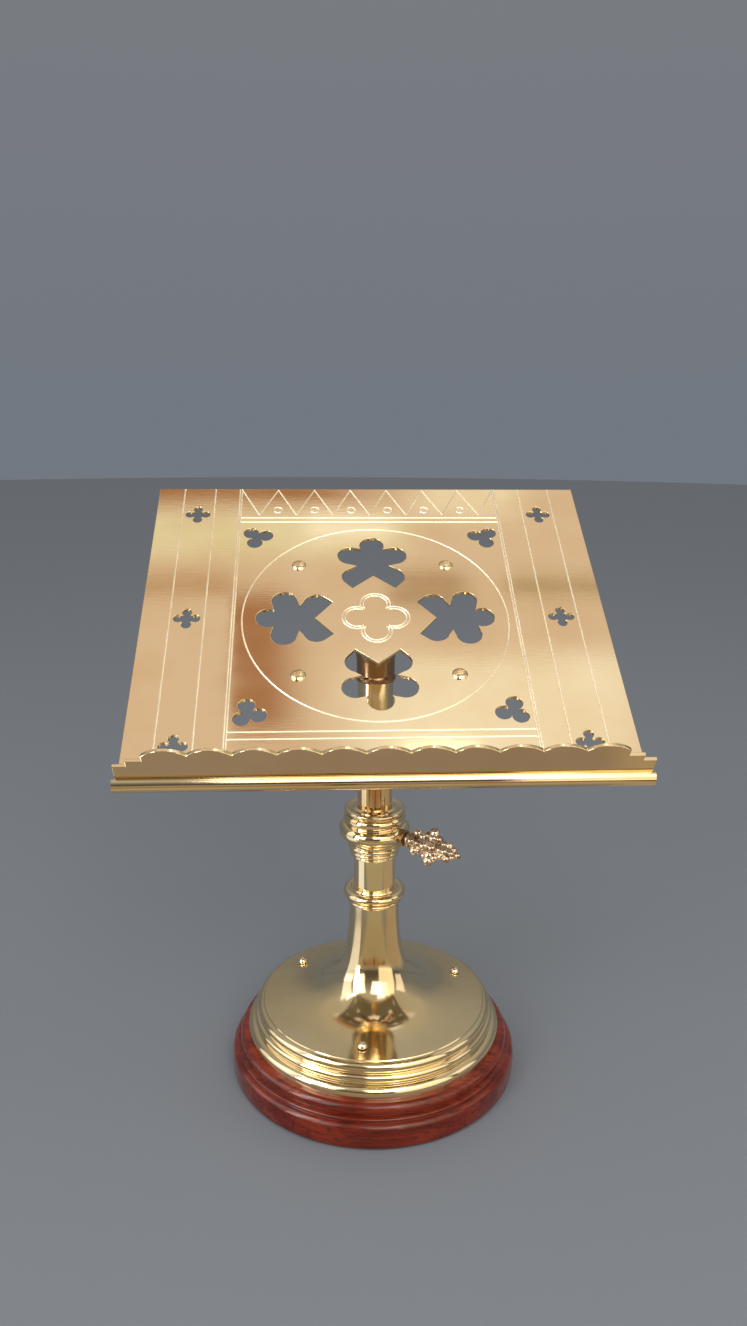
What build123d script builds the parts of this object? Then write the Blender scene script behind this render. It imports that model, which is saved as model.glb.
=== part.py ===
"""Brass table lectern: a pierced sloping desk with a scalloped ledge, on a sliding stem.

The stem stands in a column with a clamp knop and an ornate thumbscrew, over a spun foot
on a turned mahogany plinth. Millimetres, +Z up, origin at the centre of the underside,
reader's side towards -Y. Desk parts are drawn flat as (across, up the slope, out of the face).
"""

from math import cos, hypot, radians, sin
import os

from build123d import *

# Base: a baize pad, a turned wooden plinth and a spun brass foot.
PLINTH_RADIUS = 101.0
PLINTH_TOP = 28.5
BAIZE_THICK = 0.9
BAIZE_RADIUS = 97.0
FOOT_RADIUS = 89.4
DOME_RADIUS = 78.0
DOME_EDGE = 49.8
FLARE_TOP = 124.5
SHEET = 0.9
FOOT_SCREW_CIRCLE = 66.0
FOOT_SCREW_AZIMUTHS = (-99.5, 20.5, 140.5)

# Column: a 1 1/8 inch tube clamped through the base by a washer and a back nut.
TUBE_RADIUS = 14.3
TUBE_BORE = 13.1
TUBE_BOTTOM = 4.0
TUBE_TOP = 166.0
RECESS_RADIUS = 27.0
RECESS_TOP = 15.0
NECK_RING_Z = 131.3
NECK_RING_RADIUS = 21.6
KNOP_BOTTOM = 158.8
KNOP_TOP = 194.2
KNOP_RADIUS = 24.6

# Stem: a 15/16 inch tube that slides and turns in the column.
STEM_RADIUS = 11.9
STEM_BORE = 10.7
STEM_BOTTOM = 94.0
STEM_TOP = 283.6
GUIDE_BOTTOM = 96.5
GUIDE_LENGTH = 16.0
RUNNING = 0.05

# Thumbscrew: its axis is level, and points out between the front and the right.
SCREW_Z = 177.5
SCREW_AZIMUTH = -42.0
HEAD_TURN = 24.0
SCREW_RADIUS = 3.0
INSERT_RADIUS = 5.4
INSERT_START = 16.5
INSERT_END = 27.2
SHOE_GAP = 0.1
HEAD_END = 71.2

# Desk: a sloping plate, with its pattern centred over the column.
SLOPE = 33.85
DESK_CENTRE = (0, 2.0, 325.3)
PLATE_WIDTH = 305.0
PLATE_UP = 133.0
PLATE_DOWN = 132.5
PLATE_THICK = 2.5
EDGE_BREAK = 0.4
GROOVE_WIDTH = 1.1
GROOVE_DEPTH = 0.4
BOSS_ACROSS = 50.5
BOSS_UP = 50.0
CIRCLE_RADIUS = 87.3
CINQUEFOIL_LOBE = 8.3
PANEL_EDGE = 92.4
BAND_TOP = 131.5
BAND_FOOT = 103.4
BAND_TRIANGLES = 7

# Ledge: a scalloped gallery at the foot of the desk, with a half-round nosing.
LEDGE_FACE = 135.0
LEDGE_SHEET = 2.3
LEDGE_HALF = 150.5
SCALLOPS = 11
SCALLOP_HALF = 134.0
SCALLOP_TOP = 36.5
SCALLOP_CUSP = 32.0
SHOULDER = 27.5
SHOULDER_HALF = 143.0
END_HEIGHT = 23.0
RIB_DEPTH = 9.0
RIB_HEIGHT = 5.0
NOSING_RADIUS = 4.9
NOSING_HEIGHT = 7.0
LEDGE_SCREW_ACROSS = 137.5
LEDGE_SCREW_DOWN = 129.8

# Bracket: a spider behind the plate, with a boss that plugs into the stem.
BRACKET_BOSS_RADIUS = 13.0
HUB_RADIUS = 24.0
HUB_THICK = 6.0
ARM_WIDTH = 12.0
ARM_THICK = 4.0
PAD_RADIUS = 8.5
SPIGOT_BOTTOM = 260.0
GRUB_Z = 272.0

DESK = Plane(DESK_CENTRE, x_dir=(1, 0, 0), z_dir=(0, -sin(radians(SLOPE)), cos(radians(SLOPE)))).location
SCREW_AXIS = Location((0, 0, SCREW_Z), (0, 0, SCREW_AZIMUTH))


def turned(start, *steps):
    """Turns a closed profile of (radius, height) about Z.

    A step is an end point for a line, (middle, end) for an arc, or a list for a spline.
    """
    edges, here = [], start
    for step in steps:
        if isinstance(step, list):
            edges.append(Spline([here, *step]))
            here = step[-1]
        elif isinstance(step[0], tuple):
            edges.append(ThreePointArc(here, *step))
            here = step[1]
        else:
            edges.append(Line(here, step))
            here = step
    edges.append(Line(here, start))
    return revolve(make_face(Plane.XZ * (Curve() + edges)), Axis.Z)


def tube(outer, inner, low, high):
    ring = Circle(outer) - Circle(inner)
    return extrude(Pos(0, 0, low) * ring, high - low)


def rod(radius, low, high):
    return extrude(Pos(0, 0, low) * Circle(radius), high - low)


def round_head(radius, height, slot):
    """A slotted round head that stands on Z = 0."""
    head = turned((0, 0), (radius, 0), (radius, 0.15 * height), ((0.72 * radius, 0.72 * height), (0, height)))
    return head - Pos(0, 0, height) * Box(2.2 * radius, slot, 0.9 * height)


def hexagon_nut(across_flats, bore, low, high):
    blank = RegularPolygon(across_flats / 2, 6, major_radius=False) - Circle(bore)
    return extrude(Pos(0, 0, low) * blank, high - low)


def on_screw_axis(solid):
    """Lays a solid drawn along +Z along the thumbscrew's axis."""
    return SCREW_AXIS * Rot(0, 90, 0) * solid


# Base

def baize_pad():
    return rod(BAIZE_RADIUS, 0, BAIZE_THICK)


def wood_plinth():
    body = turned(
        (0, BAIZE_THICK),
        (PLINTH_RADIUS - 0.9, BAIZE_THICK),
        (PLINTH_RADIUS - 0.2, 2.4),
        ((PLINTH_RADIUS, 8.0), (PLINTH_RADIUS - 0.3, 13.6)),
        ((PLINTH_RADIUS - 1.4, 16.4), (PLINTH_RADIUS - 3.9, 17.6)),
        (PLINTH_RADIUS - 4.1, 18.0),
        ((PLINTH_RADIUS - 3.4, 19.5), (PLINTH_RADIUS - 4.8, 20.6)),
        (PLINTH_RADIUS - 7.0, 21.2),
        ((PLINTH_RADIUS - 5.9, 25.2), (91.0, PLINTH_TOP)),
        (0, PLINTH_TOP),
    )
    body -= rod(TUBE_RADIUS + 0.3, 0, PLINTH_TOP)
    body -= rod(RECESS_RADIUS, 0, RECESS_TOP)
    for azimuth in FOOT_SCREW_AZIMUTHS:
        body -= foot_screw_place(azimuth, 0) * rod(1.6, PLINTH_TOP - 17, PLINTH_TOP)
    return body


def dome_curve(shift):
    """The foot's top from the dome's edge up to the neck, moved in and down by shift."""
    points = [(66, 51.0), (53, 53.0), (42, 56.8), (33.5, 62.6), (26.9, 69.2), (22.9, 76.5)]
    points += [(20.6, 84.5), (18.4, 99.0), (17.3, 114.0), (17.1, FLARE_TOP)]
    return [(radius - shift, height - shift) for radius, height in points]


def foot_shell():
    outside = turned(
        (0, PLINTH_TOP),
        (FOOT_RADIUS, PLINTH_TOP),
        (FOOT_RADIUS, 31.6),
        ((FOOT_RADIUS - 1.3, 35.0), (85.2, 36.4)),
        (84.2, 36.6),
        (84.0, 37.6),
        ((84.9, 39.9), (83.6, 42.0)),
        (82.0, 42.4),
        (81.9, 43.4),
        ((82.2, 47.2), (78.6, 49.2)),
        (DOME_RADIUS, DOME_EDGE),
        dome_curve(0),
        (0, FLARE_TOP),
    )
    inside = turned(
        (0, PLINTH_TOP),
        (FOOT_RADIUS - 2.4, PLINTH_TOP),
        (82.6, 36.6),
        (80.4, 43.0),
        (DOME_RADIUS - 1.4, DOME_EDGE - SHEET),
        dome_curve(SHEET)[:-1],
        (0, 114.0 - SHEET),
    )
    shell = outside - inside - rod(TUBE_RADIUS + 0.05, PLINTH_TOP, FLARE_TOP)
    for azimuth in FOOT_SCREW_AZIMUTHS:
        shell -= foot_screw_place(azimuth, 0) * rod(1.8, 45, 56)
    return shell


def foot_screw_place(azimuth, height):
    angle = radians(azimuth)
    return Pos(FOOT_SCREW_CIRCLE * cos(angle), FOOT_SCREW_CIRCLE * sin(angle), height)


def foot_screws():
    screws = []
    for azimuth in FOOT_SCREW_AZIMUTHS:
        screw = Pos(0, 0, 51.7) * Rot(0, 0, azimuth) * round_head(3.4, 3.2, 0.8)
        screw += rod(1.6, PLINTH_TOP - 16.5, 51.8)
        screws.append(foot_screw_place(azimuth, 0) * screw)
    return Compound(children=screws)


# Column

def outer_tube():
    return tube(TUBE_RADIUS, TUBE_BORE, TUBE_BOTTOM, TUBE_TOP)


def neck_ring():
    top, foot = NECK_RING_Z + 3.1, NECK_RING_Z - 3.1
    return turned(
        (TUBE_RADIUS, FLARE_TOP),
        (18.2, FLARE_TOP),
        ((18.9, FLARE_TOP + 1.2), (18.2, FLARE_TOP + 2.4)),
        (17.3, FLARE_TOP + 2.7),
        (17.3, foot - 0.3),
        (18.6, foot),
        ((NECK_RING_RADIUS, NECK_RING_Z), (17.4, top)),
        (16.2, top),
        (15.6, top + 0.9),
        (TUBE_RADIUS, top + 0.9),
    )


def base_washer():
    return tube(24.0, TUBE_RADIUS + 0.2, RECESS_TOP - 2, RECESS_TOP)


def base_nut():
    return hexagon_nut(40.0, TUBE_RADIUS, TUBE_BOTTOM + 1, RECESS_TOP - 2)


def clamp_knop():
    body = turned(
        (TUBE_RADIUS, KNOP_BOTTOM),
        (15.6, KNOP_BOTTOM),
        ((16.4, 159.6), (15.8, 160.4)),
        (15.7, 160.9),
        ((17.2, 162.3), (16.2, 163.8)),
        (16.2, 164.3),
        ((18.1, 166.0), (17.0, 167.8)),
        (17.0, 168.4),
        ((18.2, 170.8), (21.4, 172.0)),
        ((KNOP_RADIUS, 177.2), (22.4, 182.6)),
        (20.5, 183.3),
        (20.3, 184.0),
        ((21.4, 187.0), (20.4, 189.8)),
        (19.2, 190.2),
        (19.2, 190.8),
        ((20.9, 192.3), (20.2, 193.8)),
        (19.2, KNOP_TOP),
        (15.2, KNOP_TOP - 0.4),
        (13.4, KNOP_TOP + 0.4),
        (STEM_RADIUS + RUNNING, KNOP_TOP + 0.4),
        (STEM_RADIUS + RUNNING, TUBE_TOP),
        (TUBE_RADIUS, TUBE_TOP),
    )
    return body - on_screw_axis(rod(INSERT_RADIUS, INSERT_START, 40) + rod(4.1, 5, INSERT_START))


def clamp_insert():
    """The threaded bush that the thumbscrew turns in."""
    bush = turned(
        (SCREW_RADIUS + RUNNING, INSERT_START),
        (INSERT_RADIUS, INSERT_START),
        (INSERT_RADIUS, INSERT_END - 0.6),
        (INSERT_RADIUS - 0.6, INSERT_END),
        (SCREW_RADIUS + RUNNING, INSERT_END),
    )
    return on_screw_axis(bush)


def clamp_shoe():
    """The soft pad that the thumbscrew presses on the stem."""
    pad = rod(4.0, 8, 14.6) - Rot(0, 90, 0) * rod(STEM_RADIUS + SHOE_GAP, -10, 10)
    return on_screw_axis(pad)


# Thumbscrew

def thumbscrew_shank():
    shank = turned((0, 14.6), (2.2, 14.6), (SCREW_RADIUS, 15.6), (SCREW_RADIUS, 29.0), (0, 29.0))
    return on_screw_axis(shank)


def leaf_tier(reach, lobe, out, thick):
    """Four lobes in a cross, on webs, at one place along the key."""
    lobes = Rectangle(2 * reach, 1.3 * lobe)
    for side in (-1, 1):
        lobes += Pos(side * reach, 0) * Circle(lobe)
    flat = extrude(Plane.XZ * Pos(0, out) * lobes, thick / 2, both=True)
    return flat + Rot(0, 0, 90) * flat


def thumbscrew_head():
    """A cast foliate key: a turned spindle with three tiers of leaf lobes and a ball."""
    spindle = turned(
        (0, 27.8),
        (5.2, 27.8),
        (5.6, 29.2),
        ((3.8, 30.6), (5.2, 32.4)),
        ((6.4, 35.4), (4.4, 39.0)),
        ((3.6, 41.4), (4.8, 43.8)),
        ((6.2, 48.0), (4.0, 52.4)),
        ((3.2, 54.6), (3.8, 57.0)),
        ((4.4, 60.8), (2.4, 64.6)),
        (1.5, 66.6),
        (1.5, 68.6),
        (0, 68.6),
    )
    spindle += Pos(0, 0, HEAD_END - 2.1) * Sphere(2.1)
    for reach, lobe, out, thick in ((6.0, 3.1, 35.4, 5.2), (9.4, 3.4, 48.0, 5.6), (4.4, 2.4, 61.0, 3.8)):
        spindle += leaf_tier(reach, lobe, out, thick)
    return on_screw_axis(Rot(0, 0, -HEAD_TURN) * (spindle - rod(SCREW_RADIUS, 20, 29.0)))


# Stem

def stem_tube():
    body = tube(STEM_RADIUS, STEM_BORE, STEM_BOTTOM, STEM_TOP)
    return body - grub_screw_blank(2.0)


def stem_plug():
    """Closes the stem's foot, with a flange that carries the guide."""
    return rod(12.8, STEM_BOTTOM - 2, STEM_BOTTOM) + rod(STEM_BORE, STEM_BOTTOM, STEM_BOTTOM + 10)


def stem_guide():
    return tube(TUBE_BORE - RUNNING, STEM_RADIUS + RUNNING, GUIDE_BOTTOM, GUIDE_BOTTOM + GUIDE_LENGTH)


def guide_ring():
    low = GUIDE_BOTTOM + GUIDE_LENGTH + 0.3
    return tube(12.8, STEM_RADIUS, low, low + 1.5)


def grub_screw_blank(radius):
    return Pos(0, 0, GRUB_Z) * Rot(-90, 0, 0) * rod(radius, 4.0, STEM_RADIUS + 1)


def bracket_grub_screw():
    slot = Pos(0, STEM_RADIUS - 0.2, GRUB_Z) * Box(3.2, 1.2, 0.7)
    screw = Pos(0, 0, GRUB_Z) * Rot(-90, 0, 0) * rod(2.0, 4.0, STEM_RADIUS - 0.2)
    return screw - slot


def desk_bracket():
    """A cast spider: four arms and a hub under the plate, and a boss in line with the stem."""
    hub_up = -DESK_CENTRE[1] / cos(radians(SLOPE))
    spider = Sketch() + Pos(0, hub_up) * Circle(HUB_RADIUS)
    reach = hypot(BOSS_ACROSS, BOSS_UP)
    for across in (-1, 1):
        for up in (-1, 1):
            arm = Pos(across * BOSS_ACROSS / 2, up * BOSS_UP / 2) * Rot(0, 0, across * up * 44.72)
            spider += arm * Rectangle(reach, ARM_WIDTH)
            spider += Pos(across * BOSS_ACROSS, up * BOSS_UP) * Circle(PAD_RADIUS)
    body = DESK * extrude(Pos(0, 0, -PLATE_THICK - ARM_THICK) * spider, ARM_THICK)
    body += DESK * Pos(0, hub_up) * rod(HUB_RADIUS, -PLATE_THICK - HUB_THICK, -PLATE_THICK)
    boss = turned(
        (0, STEM_TOP),
        (BRACKET_BOSS_RADIUS - 0.4, STEM_TOP),
        ((BRACKET_BOSS_RADIUS + 0.4, STEM_TOP + 2.2), (BRACKET_BOSS_RADIUS - 0.4, STEM_TOP + 4.4)),
        (BRACKET_BOSS_RADIUS - 0.3, STEM_TOP + 14),
        ((BRACKET_BOSS_RADIUS + 1.4, STEM_TOP + 22), (HUB_RADIUS - 6, STEM_TOP + 30)),
        (HUB_RADIUS - 6, 345),
        (0, 345),
    )
    above_hub = Box(90, 90, 80, align=(Align.CENTER, Align.CENTER, Align.MIN))
    body += boss - DESK * Pos(0, 0, -PLATE_THICK - HUB_THICK / 2) * above_hub
    body += rod(STEM_BORE, SPIGOT_BOTTOM, STEM_TOP)
    body -= grub_screw_blank(2.0)
    for place in boss_places():
        body -= DESK * place * rod(2.1, -12, 1)
    return body


# Desk

def boss_places():
    return [Pos(across * BOSS_ACROSS, up * BOSS_UP) for across in (-1, 1) for up in (-1, 1)]


def cinquefoil():
    """Five lobes round a notched heart, drawn out from the centre along +X."""
    hole = Sketch() + Pos(70, 0) * Circle(CINQUEFOIL_LOBE)
    hole += make_face(Polyline((66.6, -7.4), (66.6, 7.4), (50, 11), (40, 0), (50, -11), close=True))
    for side in (-1, 1):
        hole += Pos(60, side * 15.5) * Circle(CINQUEFOIL_LOBE)
        hole += Pos(39, side * 13) * Circle(CINQUEFOIL_LOBE)
        neck = [(66.6, 7.4), (66.4, 12.0), (51.8, 16.6), (50, 11)]
        petal = [(28, 14.5), (33.6, 19.3), (44, 19.6), (50, 11), (40, 0)]
        for corners in (neck, petal):
            hole += make_face(Polyline(*[(x, side * y) for x, y in corners], close=True))
    return hole


def foil(lobes, lobe_radius, reach, heart, turn):
    """A ring of round lobes about an open heart."""
    hole = Sketch() + Circle(heart)
    for lobe in range(lobes):
        hole += Rot(0, 0, turn + 360 * lobe / lobes) * Pos(reach, 0) * Circle(lobe_radius)
    return hole


def piercings():
    holes = Sketch()
    for quarter in range(4):
        holes += Rot(0, 0, 90 * quarter) * cinquefoil()
    for across in (-1, 1):
        for up in (-1, 1):
            outward = {(1, 1): 45, (-1, 1): 135, (-1, -1): 225, (1, -1): 315}[across, up]
            holes += Pos(across * 80, up * 79.5) * foil(3, 5.2, 6.0, 3.7, outward)
        for up in (-104, 0, 104):
            holes += Pos(across * 123, up) * foil(4, 3.1, 5.55, 4.0, 0)
    return holes


def straight_groove(start, end):
    """A V-shaped engraved line in the plate's face."""
    (x0, y0), (x1, y1) = start, end
    vee = Polyline((-GROOVE_WIDTH / 2, 0.01), (GROOVE_WIDTH / 2, 0.01), (0, -GROOVE_DEPTH), close=True)
    across = Plane(origin=(x0, y0, 0), x_dir=(y0 - y1, x1 - x0, 0), z_dir=(x1 - x0, y1 - y0, 0))
    return extrude(across * make_face(vee), hypot(x1 - x0, y1 - y0))


def round_groove(centre, radius, start=0, sweep=360):
    """A V-shaped engraved arc, from start degrees on for sweep degrees."""
    half = GROOVE_WIDTH / 2
    vee = Polyline((radius - half, 0.01), (radius + half, 0.01), (radius, -GROOVE_DEPTH), close=True)
    return Pos(*centre) * Rot(0, 0, start) * revolve(make_face(Plane.XZ * vee), Axis.Z, sweep)


def engraving():
    """All the engraved lines, as cutters for the plate's face."""
    top, foot = PLATE_UP + 1, -PLATE_DOWN - 1
    cutters = []
    for across in (134, 111.6, PANEL_EDGE + 1.5, PANEL_EDGE):
        for side in (-1, 1):
            cutters.append(straight_groove((side * across, foot), (side * across, top)))
    for up in (100.4, 95.7, -94.0, -99.4):
        cutters.append(straight_groove((-PANEL_EDGE, up), (PANEL_EDGE, up)))
    pitch = 2 * PANEL_EDGE / BAND_TRIANGLES
    for triangle in range(BAND_TRIANGLES):
        left = -PANEL_EDGE + triangle * pitch
        cutters.append(straight_groove((left, BAND_TOP), (left + pitch / 2, BAND_FOOT)))
        cutters.append(straight_groove((left + pitch / 2, BAND_FOOT), (left + pitch, BAND_TOP)))
        if triangle:
            cutters.append(round_groove((left, 109.0), 3.0))
    cutters.append(round_groove((0, 0), CIRCLE_RADIUS))
    for lobe in range(4):
        angle = radians(90 * lobe)
        centre = (12.2 * cos(angle), 12.2 * sin(angle))
        for radius, sweep in ((10.0, 242), (8.0, 214)):
            cutters.append(round_groove(centre, radius, 90 * lobe - sweep / 2, sweep))
    return cutters


def desk_plate():
    middle = (PLATE_UP - PLATE_DOWN) / 2
    outline = Pos(0, middle) * Rectangle(PLATE_WIDTH, PLATE_UP + PLATE_DOWN)
    blank = extrude(outline, -PLATE_THICK)
    blank = chamfer(blank.faces().sort_by(Axis.Z)[-1].edges(), EDGE_BREAK)
    blank -= Pos(0, 0, -PLATE_THICK - 1) * extrude(piercings(), PLATE_THICK + 2)
    for place in boss_places():
        blank -= place * rod(2.1, -5, 1)
    for side in (-1, 1):
        blank -= Pos(side * LEDGE_SCREW_ACROSS, -LEDGE_SCREW_DOWN) * rod(1.6, -5, 1)
    for cutter in engraving():
        blank -= cutter
    return DESK * blank


def desk_screws():
    screw = round_head(4.9, 1.9, 0.9) + rod(2.1, -PLATE_THICK - ARM_THICK - 4.5, 0.1)
    return Compound(children=[DESK * place * Rot(0, 0, 35) * screw for place in boss_places()])


def desk_nuts():
    low = -PLATE_THICK - ARM_THICK - 3.2
    return Compound(children=[DESK * place * hexagon_nut(8, 2.1, low, low + 3.2) for place in boss_places()])


# Ledge

def ledge_gallery():
    pitch = 2 * SCALLOP_HALF / SCALLOPS
    corners = [(SCALLOP_HALF, SCALLOP_CUSP), (SCALLOP_HALF, SHOULDER), (SHOULDER_HALF, SHOULDER)]
    corners += [(SHOULDER_HALF, END_HEIGHT), (LEDGE_HALF, END_HEIGHT), (LEDGE_HALF, 0)]
    mirrored = [(-across, height) for across, height in reversed(corners)]
    edges = [Polyline(*corners, *mirrored)]
    for scallop in range(SCALLOPS):
        left = -SCALLOP_HALF + scallop * pitch
        crown = (left + pitch / 2, SCALLOP_TOP)
        edges.append(ThreePointArc((left, SCALLOP_CUSP), crown, (left + pitch, SCALLOP_CUSP)))
    inner_face = Plane.XZ.offset(LEDGE_FACE - LEDGE_SHEET)
    body = extrude(inner_face * make_face(Curve() + edges), LEDGE_SHEET)
    rib = Box(2 * LEDGE_HALF, RIB_DEPTH, RIB_HEIGHT, align=(Align.CENTER, Align.MIN, Align.MIN))
    body += Pos(0, -LEDGE_FACE, 0) * rib
    for side in (-1, 1):
        body -= Pos(side * LEDGE_SCREW_ACROSS, -LEDGE_SCREW_DOWN) * rod(1.5, -1, 4)
    return DESK * body


def ledge_nosing():
    section = Circle(NOSING_RADIUS) - Pos(NOSING_RADIUS, 0) * Rectangle(2 * NOSING_RADIUS, 2 * NOSING_RADIUS)
    bar = extrude(Plane.YZ * section, PLATE_WIDTH / 2, both=True)
    return DESK * Pos(0, -LEDGE_FACE, NOSING_HEIGHT) * bar


def ledge_screws():
    screw = Rot(180, 0, 0) * round_head(3.2, 2.9, 0.8) + rod(1.5, -0.1, PLATE_THICK + 4)
    return Compound(
        children=[
            DESK * Pos(side * LEDGE_SCREW_ACROSS, -LEDGE_SCREW_DOWN, -PLATE_THICK) * screw for side in (-1, 1)
        ]
    )


NODES = (
    baize_pad, wood_plinth, foot_shell, foot_screws, base_washer, base_nut, outer_tube, neck_ring,
    clamp_knop, clamp_insert, clamp_shoe, thumbscrew_shank, thumbscrew_head, stem_guide, stem_tube,
    stem_plug, guide_ring, desk_bracket, bracket_grub_screw, desk_plate, desk_screws, desk_nuts,
    ledge_gallery, ledge_nosing, ledge_screws,
)

os.makedirs("parts", exist_ok=True)
for node in NODES:
    export_step(node(), f"parts/{node.__name__}.step")
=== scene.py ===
"""Looks for the brass table lectern: finely turned brass and mahogany, an engraved and
pierced desk plate, a scalloped ledge and a cast foliate thumbscrew.

Lengths are written in millimetres and turned to metres when a mesh is made. Desk parts
are drawn flat as (across, up the slope, out of the face), as in the CAD.
"""

import math

import bmesh
import bpy
import numpy as np
from mathutils import Matrix, Vector
from mathutils.geometry import delaunay_2d_cdt


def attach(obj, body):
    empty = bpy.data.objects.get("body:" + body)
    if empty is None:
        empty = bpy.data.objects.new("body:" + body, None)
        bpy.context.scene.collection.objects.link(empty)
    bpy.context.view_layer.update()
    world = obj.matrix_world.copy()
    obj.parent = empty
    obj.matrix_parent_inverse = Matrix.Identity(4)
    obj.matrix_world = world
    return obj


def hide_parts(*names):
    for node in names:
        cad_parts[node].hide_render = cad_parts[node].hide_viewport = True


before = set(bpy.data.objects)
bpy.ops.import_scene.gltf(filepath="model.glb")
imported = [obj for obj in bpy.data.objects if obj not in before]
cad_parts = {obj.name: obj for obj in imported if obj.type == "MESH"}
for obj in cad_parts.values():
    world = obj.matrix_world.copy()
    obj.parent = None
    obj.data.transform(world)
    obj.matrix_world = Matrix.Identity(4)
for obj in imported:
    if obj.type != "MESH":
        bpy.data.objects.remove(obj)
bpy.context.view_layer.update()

MM = 0.001
TURNED_STEPS = 288

# Base and column
PAD_TOP = 0.9
PLINTH_TOP = 28.5
FOOT_SCREW_CIRCLE = 66
FOOT_SCREW_AZIMUTHS = (-99.5, 20.5, 140.5)
TUBE_RADIUS = 14.3
TUBE_BORE = 13.1
TUBE_SLEEVE = TUBE_RADIUS + 0.05
TUBE_TOP = 166
NECK_TOP = 124.5
NECK_RING_Z = 131.3
KNOP_BOTTOM = 158.8
KNOP_TOP = 194.2

# Stem and thumbscrew
STEM_RADIUS = 11.9
STEM_BORE = 10.7
STEM_SLEEVE = STEM_RADIUS + 0.05
STEM_ENDS = (94, 283.6)
SCREW_SLEEVE = 3.05
INSERT_RADIUS = 5.4
INSERT_START = 16.5
INSERT_END = 27.2
HEAD_TURN = math.radians(24)
SCREW_AXIS = (
    Matrix.Translation((0, 0, 177.5))
    @ Matrix.Rotation(math.radians(-42), 4, "Z")
    @ Matrix.Rotation(math.radians(90), 4, "Y")
)

# Desk
SLOPE = math.radians(33.85)
DESK = Matrix(
    (
        (1, 0, 0, 0),
        (0, math.cos(SLOPE), -math.sin(SLOPE), 2.0),
        (0, math.sin(SLOPE), math.cos(SLOPE), 325.3),
        (0, 0, 0, 1),
    )
)
PLATE_HALF = 152.5
PLATE_UP = 133.0
PLATE_DOWN = 132.5
PLATE_THICK = 2.5
EDGE = 0.35
LINE_HALF = 0.55
LINE_DEPTH = 0.4
PANEL_EDGE = 92.4
BAND_TOP = 131.5
BAND_FOOT = 103.4
GALLERY_HALF = 150.5
SCALLOPS_HALF = 134.0
SCALLOPS = 11
LEDGE_FACE = 135


# Shapes


def circle_through(a, b, c):
    """Centre of the circle through three points."""
    (ax, ay), (bx, by), (cx, cy) = a, b, c
    d = 2 * (ax * (by - cy) + bx * (cy - ay) + cx * (ay - by))
    aa, bb, cc = ax * ax + ay * ay, bx * bx + by * by, cx * cx + cy * cy
    x = (aa * (by - cy) + bb * (cy - ay) + cc * (ay - by)) / d
    y = (aa * (cx - bx) + bb * (ax - cx) + cc * (bx - ax)) / d
    return x, y


def arc_points(a, b, c, chord):
    """Points after a on the arc from a through b to c."""
    x, y = circle_through(a, b, c)
    start, middle, end = (math.atan2(p[1] - y, p[0] - x) for p in (a, b, c))
    sweep, half = (end - start) % math.tau, (middle - start) % math.tau
    if half > sweep:
        sweep -= math.tau
    radius = math.hypot(a[0] - x, a[1] - y)
    count = max(3, math.ceil(abs(sweep) * radius / chord), math.ceil(abs(sweep) / math.radians(7)))
    angles = [start + sweep * i / count for i in range(1, count)]
    return [(x + radius * math.cos(t), y + radius * math.sin(t)) for t in angles] + [c]


def spline_points(points, chord):
    """Points after the first on the natural cubic spline through them all."""
    p = np.array(points, float)
    steps = np.hypot(*np.diff(p, axis=0).T)
    n = len(p)
    system, right = np.eye(n), np.zeros((n, 2))
    for i in range(1, n - 1):
        system[i, i - 1 : i + 2] = steps[i - 1], 2 * (steps[i - 1] + steps[i]), steps[i]
        right[i] = 6 * ((p[i + 1] - p[i]) / steps[i] - (p[i] - p[i - 1]) / steps[i - 1])
    bend = np.linalg.solve(system, right)
    made = []
    for i in range(n - 1):
        h = steps[i]
        count = max(2, math.ceil(h / chord))
        for t in np.linspace(0, h, count + 1)[1:]:
            a, b = (h - t) / h, t / h
            curve = a * p[i] + b * p[i + 1]
            curve += ((a**3 - a) * bend[i] + (b**3 - b) * bend[i + 1]) * h * h / 6
            made.append(tuple(curve))
    return made


def outline(start, *steps, chord=0.6):
    """Samples an outline. A step is an end point, (middle, end) of an arc, or a list for a spline."""
    points = [start]
    for step in steps:
        if isinstance(step, list):
            points += spline_points([points[-1], *step], chord)
        elif isinstance(step[0], tuple):
            points += arc_points(points[-1], *step, chord)
        else:
            points.append(step)
    return points


def eased(points, radius, corner=math.radians(14)):
    """The closed outline with its corners rounded off."""
    p = np.array(points, float)
    if np.hypot(*(p[0] - p[-1])) < 1e-6:
        p = p[:-1]
    n = len(p)
    ahead = np.roll(p, -1, axis=0) - p
    length = np.hypot(*ahead.T)
    unit = ahead / length[:, None]
    behind = np.roll(unit, 1, axis=0)
    turn = np.arctan2(behind[:, 0] * unit[:, 1] - behind[:, 1] * unit[:, 0], (behind * unit).sum(1))
    is_corner = np.abs(turn) > corner
    made = []
    for i in range(n):
        if not is_corner[i]:
            made.append(p[i])
            continue
        room_back = length[i - 1] * (0.48 if is_corner[i - 1] else 0.9)
        room_on = length[i] * (0.48 if is_corner[(i + 1) % n] else 0.9)
        reach = min(radius * math.tan(min(abs(turn[i]), 2.6) / 2), room_back, room_on)
        a, b = p[i] - behind[i] * reach, p[i] + unit[i] * reach
        count = max(2, math.ceil(abs(turn[i]) / math.radians(18)))
        for t in np.linspace(0, 1, count + 1):
            made.append((1 - t) ** 2 * a + 2 * t * (1 - t) * p[i] + t * t * b)
    return np.array(made)


def outline_normals(p):
    """Normals to the right of a closed outline, leaning to its longer neighbour."""
    ahead = np.roll(p, -1, axis=0) - p
    length = np.hypot(*ahead.T)
    normal = np.stack([ahead[:, 1], -ahead[:, 0]], 1)
    weighted = normal * length[:, None]
    total = weighted + np.roll(weighted, 1, axis=0)
    return total / np.maximum(np.hypot(*total.T), 1e-12)[:, None]


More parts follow.
